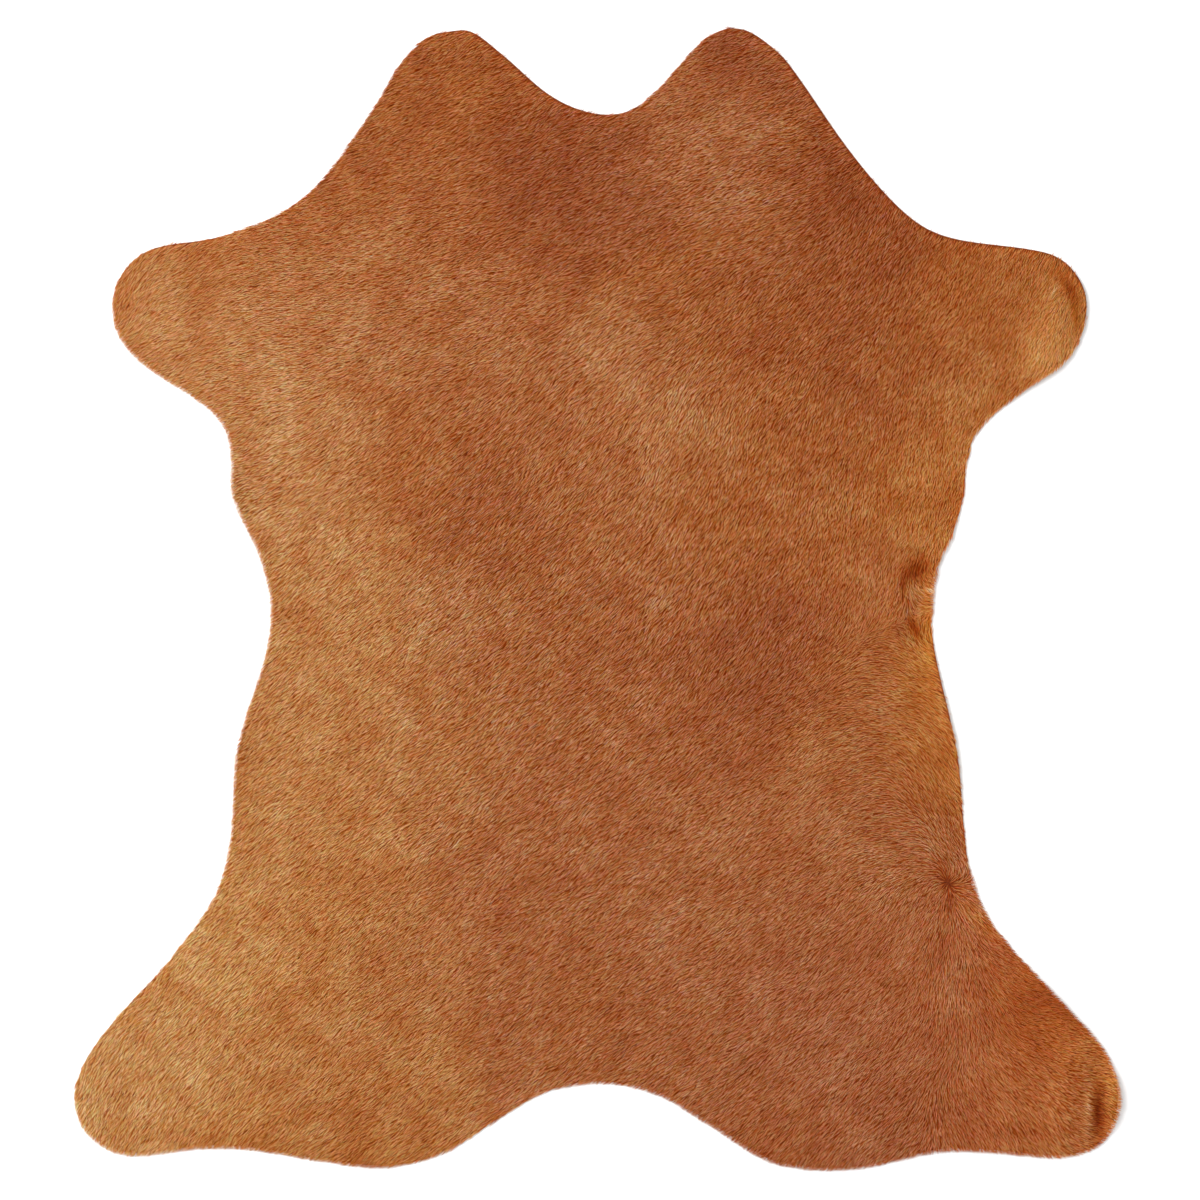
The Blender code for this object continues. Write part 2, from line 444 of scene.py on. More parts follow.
def lie_at(places: np.ndarray) -> np.ndarray:
    """Say which way the hair lies.

    Args:
        places: x and y of each place, in metres.

    Returns:
        A level unit vector towards the tips for each place.
    """
    total = np.zeros((len(places), 2))
    for x, y, lie, reach in COMBING.values():
        angle = math.radians(lie)
        weight = felt(places, (x, y, reach), FAR_LIE)
        total += weight[:, None] * (math.cos(angle), math.sin(angle))
    return total / np.linalg.norm(total, axis=1, keepdims=True)


def shade_and_painted_light_at(places: np.ndarray) -> np.ndarray:
    """Say how pale, how golden and how crisp the coat is, with painted light in its paleness too.

    Args:
        places: x and y of each place, in metres.

    Returns:
        A row for each place: tone, gold and crispness.
    """
    total = np.zeros((len(places), 3))
    weights = np.zeros(len(places))
    for *mark, tone, gold, crisp in SHADES_AND_PAINTED_LIGHT.values():
        weight = felt(places, mark, FAR_SHADE)
        total += weight[:, None] * (tone, gold, crisp)
        weights += weight
    return total / weights[:, None]


def marks_and_painted_light_at(places: np.ndarray) -> np.ndarray:
    """Say how the small marks and their painted shade and highlights change the coat's tone and
    gold.

    Args:
        places: x and y of each place, in metres.

    Returns:
        A row for each place: what is added to its tone and to its gold.
    """
    change = np.zeros((len(places), 2))
    for *oval, tone, gold in MARKS_AND_PAINTED_LIGHT.values():
        u, v = on_oval(places, oval)
        change += np.exp(-u * u - v * v)[:, None] * (tone, gold)
    return change


def cross(one: np.ndarray, other: np.ndarray) -> np.ndarray:
    """Return the cross product of level vectors, whose last axis is x and y."""
    return one[..., 0] * other[..., 1] - one[..., 1] * other[..., 0]


def rim_distance(places: np.ndarray, ring: np.ndarray) -> np.ndarray:
    """Measure how far places are from a closed line.

    Args:
        places: x and y of each place.
        ring: the line's corners in order.

    Returns:
        The distance of each place.
    """
    side = np.roll(ring, -1, axis=0) - ring
    away = places[:, None] - ring
    share = np.clip((away * side).sum(-1) / (side * side).sum(-1), 0.0, 1.0)
    return np.linalg.norm(away - share[..., None] * side, axis=-1).min(axis=1)


def room_ahead(places: np.ndarray, ways: np.ndarray, ring: np.ndarray) -> np.ndarray:
    """Measure how far it is from places to a closed line, each along its own way.

    Args:
        places: x and y of each place.
        ways: the level unit vector to go along from each place.
        ring: the line's corners in order.

    Returns:
        The distance to the first crossing, or NEVER_MET.
    """
    side = (np.roll(ring, -1, axis=0) - ring)[None]
    start = ring[None] - places[:, None]
    ahead = np.broadcast_to(ways[:, None], start.shape)
    turn = cross(ahead, side)
    turn = np.where(np.abs(turn) < PARALLEL, PARALLEL, turn)
    far = cross(start, side) / turn
    along = cross(start, ahead) / turn
    met = (along >= 0.0) & (along <= 1.0) & (far >= 0.0)
    return np.where(met, far, NEVER_MET).min(axis=1)


def inside(places: np.ndarray, ring: np.ndarray) -> np.ndarray:
    """Say which places are inside a closed line.

    Args:
        places: x and y of each place.
        ring: the line's corners in order.

    Returns:
        True for each place inside.
    """
    after = np.roll(ring, -1, axis=0)
    x, y = places[:, :1], places[:, 1:]
    crosses = (ring[:, 1] > y) != (after[:, 1] > y)
    rise = np.where(after[:, 1] == ring[:, 1], 1.0, after[:, 1] - ring[:, 1])
    at = ring[:, 0] + (y - ring[:, 1]) * (after[:, 0] - ring[:, 0]) / rise
    return (crosses & (x < at)).sum(axis=1) % 2 == 1


def new_object(name: str, data: ID) -> Object:
    """Put a mesh, a lamp or a camera into the scene.

    Args:
        name: the object's name.
        data: what it shows.

    Returns:
        The object, at the origin.
    """
    thing = bpy.data.objects.new(name, data)
    bpy.context.scene.collection.objects.link(thing)
    return thing


def new_mesh(name: str, places: np.ndarray, faces: list[tuple[int, ...]]) -> Mesh:
    """Make a mesh from its corners and faces.

    Args:
        name: the mesh's name.
        places: x, y and z of each corner.
        faces: the numbers of each face's corners, counter-clockwise from outside.

    Returns:
        The mesh.
    """
    mesh = bpy.data.meshes.new(name)
    mesh.from_pydata(places.tolist(), [], faces)
    mesh.update()
    return mesh


@dataclass
class Nodes:
    """A node tree that is being built."""

    tree: NodeTree

    def add(self, kind: str, inputs: dict[Any, Any] | None = None, **settings: Any) -> NodeSocket:
        """Add one node as add_node does, and return its first output."""
        return add_node(self.tree, kind, inputs, **settings).outputs[0]

    def maths(self, operation: str, *values: Any) -> NodeSocket:
        """Work out one number from others."""
        return self.add("ShaderNodeMath", dict(enumerate(values)), operation=operation)

    def vector(self, operation: str, *values: Any) -> NodeSocket:
        """Work out three numbers at once from others."""
        return self.add("ShaderNodeVectorMath", dict(enumerate(values)), operation=operation)

    def noise(self, place: NodeSocket, scale: float, detail: float = 2.0) -> NodeSocket:
        """Return a cloudy pattern from 0 to 1."""
        return self.add("ShaderNodeTexNoise", {"Vector": place, "Scale": scale, "Detail": detail})


class Surface(Nodes):
    """A material that is being built."""

    def __init__(self, name: str) -> None:
        """Start the material and find the place on the piece, which its patterns read.

        Args:
            name: the material's name.
        """
        self.material = bpy.data.materials.new(name)
        self.material.use_nodes = True
        super().__init__(self.material.node_tree)
        self.place = add_node(self.tree, "ShaderNodeTexCoord").outputs["Object"]

    def ramp(self, value: NodeSocket, *stops: tuple[float, str]) -> NodeSocket:
        """Turn a number into a colour.

        Args:
            value: the number.
            stops: the numbers and the colours that they stand for.

        Returns:
            The colour.
        """
        node = add_node(self.tree, "ShaderNodeValToRGB", {"Fac": value})
        elements = node.color_ramp.elements
        for position, _ in stops[2:]:
            elements.new(position)
        for element, (position, colour) in zip(elements, stops):
            element.position = position
            element.color = linear(colour)
        return node.outputs["Color"]

    def bump(self, height: NodeSocket, depth: float, strength: float) -> NodeSocket:
        """Tilt the surface as a relief of this depth would."""
        inputs = {"Height": height, "Distance": depth, "Strength": strength}
        return self.add("ShaderNodeBump", inputs)

    def finished(self, inputs: dict[str, Any]) -> Material:
        """Give the shader its inputs, as fill takes them, and return the material."""
        fill(self.tree.nodes["Principled BSDF"], inputs)
        return self.material


@dataclass(frozen=True)
class HairFinish:
    """Calf hair: short, round, solid-coloured hairs with a soft keratin shine.

    Each hair is one flat colour that pales a little towards its tip. What gives the eye the
    fine grain is that neighbours differ and that the gaps between them are dark, in part as
    painted shade down among the hairs.
    """

    name: str = "calf_hair_combed_reddish_tan"
    # Each colour has its shade: 0 is the deepest and 1 the palest.
    # The gap and dark colours, which the under hair takes, are partly painted shade among the
    # hairs.
    gap: tuple[float, str] = (0.10, "#4C1300")
    dark: tuple[float, str] = (0.35, "#862E09")
    middle: tuple[float, str] = (0.60, "#B05D21")
    light: tuple[float, str] = (0.85, "#C48551")
    pale: tuple[float, str] = (1.0, "#D5AB90")
    # The least shade, and what a hair's own shade and the way to its tip add to it.
    least_shade: float = 0.09
    own_shade: float = 0.80
    tip_shade: float = 0.10
    # What a tone of 1, a tone of -1, a gold of 1 and the ruddiest hair do to red, green
    # and blue.
    paler: tuple[float, float, float] = (1.28, 1.92, 2.65)
    deeper: tuple[float, float, float] = (0.75, 0.585, 0.6)
    golden: tuple[float, float, float] = (1.02, 0.93, 0.55)
    ruddier: tuple[float, float, float] = (1.13, 0.87, 1.06)
    patch: float = 31.25 * MM  # how wide the coat's dapples are
    patch_rough: float = 0.6  # how ragged they are
    dapple: float = 1.7  # how far the tone goes from the deepest to the palest
    roughness: float = 0.5
    ior: float = 1.55
    shine: float = 0.09
    glint: str = "#FF8A3C"  # light that has been inside the hair has its colour

    def material(self) -> Material:
        """Build the material, which reads each hair's own marks.

        Returns:
            The material.
        """
        coat = Surface(self.name)
        tone, gold, ruddy, shade, along = (
            add_node(coat.tree, "ShaderNodeAttribute", attribute_name=mark).outputs["Fac"]
            for mark in ("tone", "gold", "ruddy", "shade", "along")
        )
        shade = coat.maths("MULTIPLY_ADD", shade, self.own_shade, self.least_shade)
        shade = coat.maths("MULTIPLY_ADD", along, self.tip_shade, shade)
        colour = coat.ramp(shade, self.gap, self.dark, self.middle, self.light, self.pale)
        patches = coat.noise(coat.place, 1.0 / self.patch)
        fill(patches.node, {"Roughness": self.patch_rough})
        dappled = coat.maths("MULTIPLY_ADD", patches, self.dapple, -self.dapple / 2)
        tone = coat.maths("ADD", tone, dappled)
        above = coat.maths("MAXIMUM", tone, 0.0)
        below = coat.maths("SUBTRACT", above, tone)
        gains = (self.paler, self.deeper, self.golden, self.ruddier)
        for gain, amount in zip(gains, (above, below, gold, ruddy)):
            colour = coat.vector("MULTIPLY", colour, coat.vector("POWER", gain, amount))
        inputs = {
            "Base Color": colour,
            "Roughness": self.roughness,
            "IOR": self.ior,
            "Specular IOR Level": self.shine,
            "Specular Tint": linear(self.glint),
        }
        return coat.finished(inputs)


@dataclass(frozen=True)
class SkinFinish:
    """Calf grain: the hair side of the skin, seen as a dark line where hairs part.

    It is smooth and a little greasy, and pitted by the follicles that the hairs leave. Its
    deep brown is partly painted shade, for the gaps between the hairs.
    """

    name: str = "calf_skin_grain"
    # Each colour has how far from the middle of a pit it is, in pitches.
    # The deep browns of the skin are partly painted shade between the hairs.
    pit: tuple[float, str] = (0.15, "#451602")
    skin: tuple[float, str] = (0.5, "#6E2C0A")
    pit_pitch: float = 1.2 * MM  # 0.4 mm on the real skin, drawn coarser so that it shows
    pit_depth: float = 0.2 * MM
    pit_strength: float = 0.5
    roughness: float = 0.65
    shine: float = 0.1

    def material(self) -> Material:
        """Build the material.

        Returns:
            The material.
        """
        grain = Surface(self.name)
        cells = {"Vector": grain.place, "Scale": 1.0 / self.pit_pitch}
        pits = grain.add("ShaderNodeTexVoronoi", cells)
        inputs = {
            "Base Color": grain.ramp(pits, self.pit, self.skin),
            "Normal": grain.bump(pits, self.pit_depth, self.pit_strength),
            "Roughness": self.roughness,
            "Specular IOR Level": self.shine,
        }
        return grain.finished(inputs)


@dataclass(frozen=True)
class FibreFinish:
    """Bare leather fibre, drum tanned: the buffed flesh side and the raw cut edge.

    It is matt and pale, with a short nap that lies in cloudy patches.
    """

    name: str
    deep: str
    pale: str
    patch: float  # how wide the cloudy patches are
    nap: tuple[float, float, float]  # how wide the tufts of nap are along each axis
    patch_detail: float = 3.0
    nap_height: float = 0.15 * MM
    nap_strength: float = 0.6
    blend: tuple[float, float] = (0.36, 0.64)  # where the deep colour ends and the pale begins
    sheen: float = 0.25
    roughness: float = 0.95

    def material(self) -> Material:
        """Build the material.

        Returns:
            The material.
        """
        fibre = Surface(self.name)
        clouds = fibre.noise(fibre.place, 1.0 / self.patch, self.patch_detail)
        nap = fibre.noise(fibre.vector("DIVIDE", fibre.place, self.nap), 1.0)
        mean = fibre.maths("MULTIPLY", fibre.maths("ADD", clouds, nap), 0.5)
        inputs = {
            "Base Color": fibre.ramp(mean, *zip(self.blend, (self.deep, self.pale))),
            "Normal": fibre.bump(nap, self.nap_height, self.nap_strength),
            "Roughness": self.roughness,
            "Sheen Weight": self.sheen,
        }
        return fibre.finished(inputs)


# The nap's tufts are 0.3 mm wide on the real leather, drawn coarser so that they show.
FLESH_SIDE = FibreFinish(
    name="flesh_side_suede",
    deep="#A98660",
    pale="#CDAE88",
    patch=14.0 * MM,
    nap=(0.9 * MM, 0.9 * MM, 0.9 * MM),
)
CUT_EDGE = FibreFinish(
    name="raw_cut_edge",
    deep="#B08655",
    pale="#DCC29A",
    patch=9.0 * MM,
    nap=(2.5 * MM, 2.5 * MM, 0.35 * MM),
)


@dataclass
class Leather:
    """The cut sheet of leather that the hair grows on.

    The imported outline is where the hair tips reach. The leather stays a little inside
    it, and more so where the hairs lie outwards and hang over the cut edge.
    """

    thick: float = 1.4 * MM
    pitch: float = 8.5 * MM  # the side of its triangles
    step: float = 6.0 * MM  # the most between two points of the outline
    edge: float = 0.5 * MM  # how far inside the outline it ends
    overhang: float = 1.4 * MM  # how much further in where the hair lies straight out
    rim_gap: float = 0.35  # the least from the cut edge to another corner, in pitches
    fold_margin: float = 1.2  # how far round a small fold triangles are small, in its sizes
    weld: float = 1e-7  # corners nearer than this become one
    crease: float = 50.0  # the angle from which an edge stays sharp, in degrees

    def outline(self) -> np.ndarray:
        """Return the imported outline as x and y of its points, clockwise."""
        corners = [Vector(corner) * MM for stretch in OUTLINE.values() for corner in stretch]
        return np.array(smooth_ring([corner.to_3d() for corner in corners], self.step))[:, :2]

    def outward(self, ring: np.ndarray) -> np.ndarray:
        """Find the way out of a closed line at each of its points.

        Args:
            ring: the line's points, clockwise.

        Returns:
            A level unit vector for each point.
        """
        ahead = np.roll(ring, -1, axis=0) - np.roll(ring, 1, axis=0)
        length = np.linalg.norm(ahead, axis=1, keepdims=True)
        return np.stack([-ahead[:, 1], ahead[:, 0]], axis=1) / length

    def cut_edge(self) -> np.ndarray:
        """Find the leather's own cut edge.

        Returns:
            x and y of its points, clockwise.
        """
        ring = self.outline()
        outward = self.outward(ring)
        hang = np.clip((lie_at(ring) * outward).sum(axis=1), 0.0, 1.0)
        return ring - outward * (self.edge + self.overhang * hang)[:, None]

    def inner_corners(self, rim: np.ndarray) -> np.ndarray:
        """Spread corners evenly inside the cut edge, and closer on the small folds.

        Args:
            rim: the cut edge's points in order.

        Returns:
            x and y of each corner.
        """
        low, high = rim.min(axis=0), rim.max(axis=0)
        rows = int((high[1] - low[1]) / (self.pitch * ROW)) + 2
        columns = int((high[0] - low[0]) / self.pitch) + 2
        row, column = np.mgrid[0:rows, 0:columns].reshape(2, -1)
        x = low[0] + (column + 0.5 * (row % 2)) * self.pitch
        grid = np.stack([x, low[1] + row * self.pitch * ROW], axis=1)
        folded = np.zeros(len(grid), dtype=bool)
        for across, along, long, *_ in FOLDS.values():
            away = np.linalg.norm(grid / MM - (across, along), axis=1)
            folded |= away < self.fold_margin * long
        # Three more corners round each one on a fold.
        step = self.pitch / 3
        finer = [
            grid[folded] + (step * math.cos(angle), step * math.sin(angle))
            for angle in np.radians([0, 120, 240])
        ]
        grid = np.concatenate([grid, *finer])
        grid = grid[inside(grid, rim)]
        return grid[rim_distance(grid, rim) > self.rim_gap * self.pitch]

    def surface(self) -> tuple[np.ndarray, np.ndarray, int]:
        """Cover the sheet with triangles.

        Returns:
            x and y of the corners, with the cut edge's first and in order; the triangles,
            counter-clockwise; and how many corners the cut edge has.
        """
        rim = self.cut_edge()
        spread = np.concatenate([rim, self.inner_corners(rim)])
        places = [Vector(place) for place in spread.tolist()]
        edges = [(at, (at + 1) % len(rim)) for at in range(len(rim))]
        corners, _, faces, *_ = delaunay_2d_cdt(places, edges, [], ONLY_INSIDE, self.weld)
        return np.array([corner[:] for corner in corners]), np.array(faces), len(rim)

    def build(self) -> Object:
        """Make the closed sheet: hair side, flesh side and cut edge.

        Returns:
            The sheet.
        """
        flat, faces, rim = self.surface()
        count = len(flat)
        lift = lift_at(flat)
        top = np.column_stack([flat, lift + self.thick])
        under = np.column_stack([flat, lift])
        skin = [tuple(face) for face in faces.tolist()]
        flesh = [tuple(reversed([corner + count for corner in face])) for face in faces.tolist()]
        walls = [(at, (at + 1) % rim, (at + 1) % rim + count, at + count) for at in range(rim)]
        mesh = new_mesh("leather", np.concatenate([top, under]), skin + flesh + walls)
        slots = []
        for finish, side in ((SkinFinish(), skin), (FLESH_SIDE, flesh), (CUT_EDGE, walls)):
            slots += [len(mesh.materials)] * len(side)
            mesh.materials.append(finish.material())
        mesh.polygons.foreach_set("material_index", slots)
        mesh.shade_smooth()
        mesh.set_sharp_from_angle(angle=math.radians(self.crease))
        return new_object("leather", mesh)


class Band(Enum):
    """The five bands of the coat from neck to tail, each with its two ends along Y, in mm."""

    NECK = (228, 500)
    SHOULDER = (58, 228)
    RIBS = (-130, 58)
    LOIN = (-312, -130)
    HAUNCH = (-500, -312)


class Cut(Enum):
    """How a blade of hair is cut."""

    SLIVER = "one triangle"
    KITE = "two triangles with a point at each end"


@dataclass(frozen=True)
class Layer:
    """One layer of the coat, with the sizes of its blades, as the hair tree takes them.

    Real calf hair is 0.05 mm thick, too fine to show, so each blade stands for a few
    hairs that lie together.
    """

    name: str
    cut: Cut
    crowd: float  # blades on a square metre before those that stand too near are left out
    apart: float  # the least distance from root to root
    length: float
    length_spread: float
    width: float
    waist: float  # where along its length a blade is widest
    low: float  # the least and the most that its tip stands off the skin
    high: float
    dark: float  # the deepest and the palest shade that its blades have
    light: float
    stray: float  # how far a blade may turn from its neighbours

    def blade(self) -> Object:
        """Make the blade that is repeated: 1 long, 1 wide and 1 high at its tip.

        Returns:
            The blade, with the way to its tip stored as "along".
        """
        waist = self.waist
        if self.cut is Cut.KITE:
            corners = [(0.0, 0.0, 0.0), (waist, -0.5, waist), (1.0, 0.0, 1.0), (waist, 0.5, waist)]
            faces = [(0, 1, 2), (0, 2, 3)]
        else:
            corners = [(0.0, 0.5 - waist, 0.0), (waist, -0.5, waist), (1.0, 0.5, 1.0)]
            faces = [(0, 1, 2)]
        mesh = new_mesh("blade", np.array(corners), faces)
        along = mesh.attributes.new("along", "FLOAT", "POINT")
        along.data.foreach_set("value", [corner[0] for corner in corners])
        mesh.shade_smooth()
        return new_object("blade", mesh)


# The under hair's deep shades are partly painted shade down among the hairs.
UNDER_HAIR = Layer(
    name="under_hair",
    cut=Cut.SLIVER,
    crowd=1.6 / (MM * MM),
    apart=0.9 * MM,
    length=8.0 * MM,
    length_spread=2.0 * MM,
    width=0.7 * MM,
    waist=0.3,
    low=0.7 * MM,
    high=1.5 * MM,
    dark=0.13,
    light=0.48,
    stray=math.radians(5.0),
)
TOP_HAIR = Layer(
    name="top_hair",
    cut=Cut.KITE,
    crowd=1.3 / (MM * MM),
    apart=0.95 * MM,
    length=6.5 * MM,
    length_spread=1.5 * MM,
    width=0.45 * MM,
    waist=0.5,
    low=1.7 * MM,
    high=2.4 * MM,
    dark=0.60,
    light=0.89,
    stray=math.radians(12.0),
)


# What is drawn at random for each hair. The seed goes up by 1 from each to the next.
Draw = Enum("Draw", "TURN ROLL LENGTH OVERHANG WIDTH HEIGHT SHADE FRINGE HUE")


class Drift(Enum):
    """What neighbouring hairs share: patches on a metre, and how far off the noise is read."""

    SWAY = (30.0, 0.0)
    WAVER = (110.0, 5.0)
    TUFT = (250.0, 3.0)
    FRINGE = (230.0, 7.0)


@dataclass
class HairTree(Nodes):
    """The node tree that grows one layer of hair on a stretch of skin.

    Each input gets the layer's or the coat's field of the same name. The skin carries what
    steers the hair: lie, out, room, nap, crisp and flush.
    """

    overhang: tuple[float, float] = (0.8 * MM, 2.6 * MM)  # how far tips pass the outline
    shortest: float = 2.0 * MM  # no hair is shorter
    widths: tuple[float, float] = (0.8, 1.2)  # the narrowest and the widest, as shares
    middle: float = 0.55  # the shade that crispness leaves as it is
    clumping: float = 4.0  # how much the fringe's tufts differ

    def __post_init__(self) -> None:
        """Give the tree its output and its named inputs."""
        sockets = self.tree.interface
        sockets.new_socket("Geometry", in_out="OUTPUT", socket_type="NodeSocketGeometry")
        kinds = {"skin": "Geometry", "blade": "Object", "material": "Material", "seed": "Int"}
        sizes = "crowd apart length length_spread width low high dark light stray".split()
        shared = "sway waver roll tuft fringe contrast".split()
        for name in (*kinds, *sizes, *shared):
            kind = f"NodeSocket{kinds.get(name, 'Float')}"
            sockets.new_socket(name, in_out="INPUT", socket_type=kind)
        self.given = add_node(self.tree, "NodeGroupInput").outputs

    def read(self, name: str, kind: str = "FLOAT") -> NodeSocket:
        """Read one of the skin's attributes."""
        return self.add("GeometryNodeInputNamedAttribute", {"Name": name}, data_type=kind)

    def chance(self, low: Any, high: Any, draw: Draw) -> NodeSocket:
        """Draw a number for each hair.

        Args:
            low: the least that it may be.
            high: the most that it may be.
            draw: what is drawn.

        Returns:
            The number.
        """
        inputs = {2: low, 3: high, 8: self.maths("ADD", self.given["seed"], draw.value)}
        drawn = add_node(self.tree, "FunctionNodeRandomValue", inputs, data_type="FLOAT")
        return drawn.outputs[1]

    def give_or_take(self, most: Any, draw: Draw) -> NodeSocket:
        """Draw a number for each hair that is off zero by no more than this."""
        return self.chance(self.maths("MULTIPLY", most, -1.0), most, draw)

    def drift(self, shared: Drift) -> NodeSocket:
        """Draw a number that neighbouring hairs share.

        Args:
            shared: what they share.

        Returns:
            The number, from about -0.5 to 0.5.
        """
        scale, shift = shared.value
        place = self.vector("ADD", self.add("GeometryNodeInputPosition"), (shift, 0.0, 0.0))
        return self.maths("SUBTRACT", self.noise(place, scale), 0.5)

    def rotation(self, normal: NodeSocket) -> NodeSocket:
        """Lay each hair as it is combed, then turn and roll it a little.

        Args:
            normal: the way out of the skin at each root.

        Returns:
            Each hair's rotation.
        """
        axes = {"Primary Axis": normal, "Secondary Axis": self.read("lie", "FLOAT_VECTOR")}
        kind = "FunctionNodeAxesToRotation"
        laid = self.add(kind, axes, primary_axis="Z", secondary_axis="X")
        given = self.given
        # A drift reaches 0.5 either way, so it is doubled.
        sway, waver = (
            self.maths("MULTIPLY", self.drift(shared), self.maths("MULTIPLY", most, 2.0))
            for shared, most in ((Drift.SWAY, given["sway"]), (Drift.WAVER, given["waver"]))
        )
        own = self.give_or_take(given["stray"], Draw.TURN)
        turn = self.maths("ADD", own, self.maths("ADD", sway, waver))
        roll = self.give_or_take(given["roll"], Draw.ROLL)
        angles = self.add("ShaderNodeCombineXYZ", {"X": roll, "Z": turn})
        by = self.add("FunctionNodeEulerToRotation", {0: angles})
        both = {"Rotation": laid, "Rotate By": by}
        return self.add("FunctionNodeRotateRotation", both, rotation_space="LOCAL")

    def size(self) -> NodeSocket:
        """Work out how long, wide and high each hair is.

        Returns:
            The three as a scale.
        """
        given = self.given
        spread = self.give_or_take(given["length_spread"], Draw.LENGTH)
        grown = self.maths("ADD", given["length"], spread)
        free = self.maths("ADD", self.read("room"), self.chance(*self.overhang, Draw.OVERHANG))
        long = self.maths("MAXIMUM", self.maths("MINIMUM", grown, free), self.shortest)
        wide = self.maths("MULTIPLY", given["width"], self.chance(*self.widths, Draw.WIDTH))
        risen = self.chance(given["low"], given["high"], Draw.HEIGHT)
        high = self.maths("MULTIPLY", risen, self.read("nap"))
        return self.add("ShaderNodeCombineXYZ", {"X": long, "Y": wide, "Z": high})

    def over(self) -> NodeSocket:
        """Work out how far roots move over the cut edge, so that short tufts cover it.

        Returns:
            The way that each root moves.
        """
        tufts = self.maths("MULTIPLY_ADD", self.drift(Drift.FRINGE), self.clumping, 1.0)
        most = self.maths("MULTIPLY", self.given["fringe"], tufts)
        far = self.maths("MULTIPLY", self.chance(0.0, 1.0, Draw.FRINGE), most)
        ways = {0: self.read("out", "FLOAT_VECTOR"), "Scale": far}
        return self.add("ShaderNodeVectorMath", ways, operation="SCALE")

    def shade(self) -> NodeSocket:
        """Draw each hair's shade, which its tuft shares and crispness spreads.

        Returns:
            The shade.
        """
        given = self.given
        tuft = self.maths("MULTIPLY", self.drift(Drift.TUFT), given["tuft"])
        drawn = self.chance(given["dark"], given["light"], Draw.SHADE)
        own = self.maths("SUBTRACT", self.maths("ADD", drawn, tuft), self.middle)
        spread = self.maths("MULTIPLY", self.read("crisp"), given["contrast"])
        return self.maths("MULTIPLY_ADD", own, spread, self.middle)

    def build(self) -> NodeTree:
        """Join all steps, from the roots to plain blades in their material.

        Returns:
            The finished tree.
        """
        given = self.given
        spread = {
            "Mesh": given["skin"],
            "Distance Min": given["apart"],
            "Density Max": given["crowd"],
            "Seed": given["seed"],
        }
        kind = "GeometryNodeDistributePointsOnFaces"
        roots = add_node(self.tree, kind, spread, distribute_method="POISSON").outputs
        moved = {"Geometry": roots["Points"], "Offset": self.over()}
        blade = add_node(self.tree, "GeometryNodeObjectInfo", {"Object": given["blade"]})
        copies = {
            "Points": self.add("GeometryNodeSetPosition", moved),
            "Instance": blade.outputs["Geometry"],
            "Rotation": self.rotation(roots["Normal"]),
            "Scale": self.size(),
        }
        hairs = self.add("GeometryNodeInstanceOnPoints", copies)
        ruddy = self.maths("ADD", self.chance(-1.0, 1.0, Draw.HUE), self.read("flush"))
        for name, value in (("shade", self.shade()), ("ruddy", ruddy)):
            stored = {"Geometry": hairs, "Name": name, "Value": value}
            kind = "GeometryNodeStoreNamedAttribute"
            hairs = self.add(kind, stored, data_type="FLOAT", domain="INSTANCE")
        real = self.add("GeometryNodeRealizeInstances", {"Geometry": hairs})
        dressed = {"Geometry": real, "Material": given["material"]}
        add_node(self.tree, "NodeGroupOutput", {0: self.add("GeometryNodeSetMaterial", dressed)})
        return self.tree


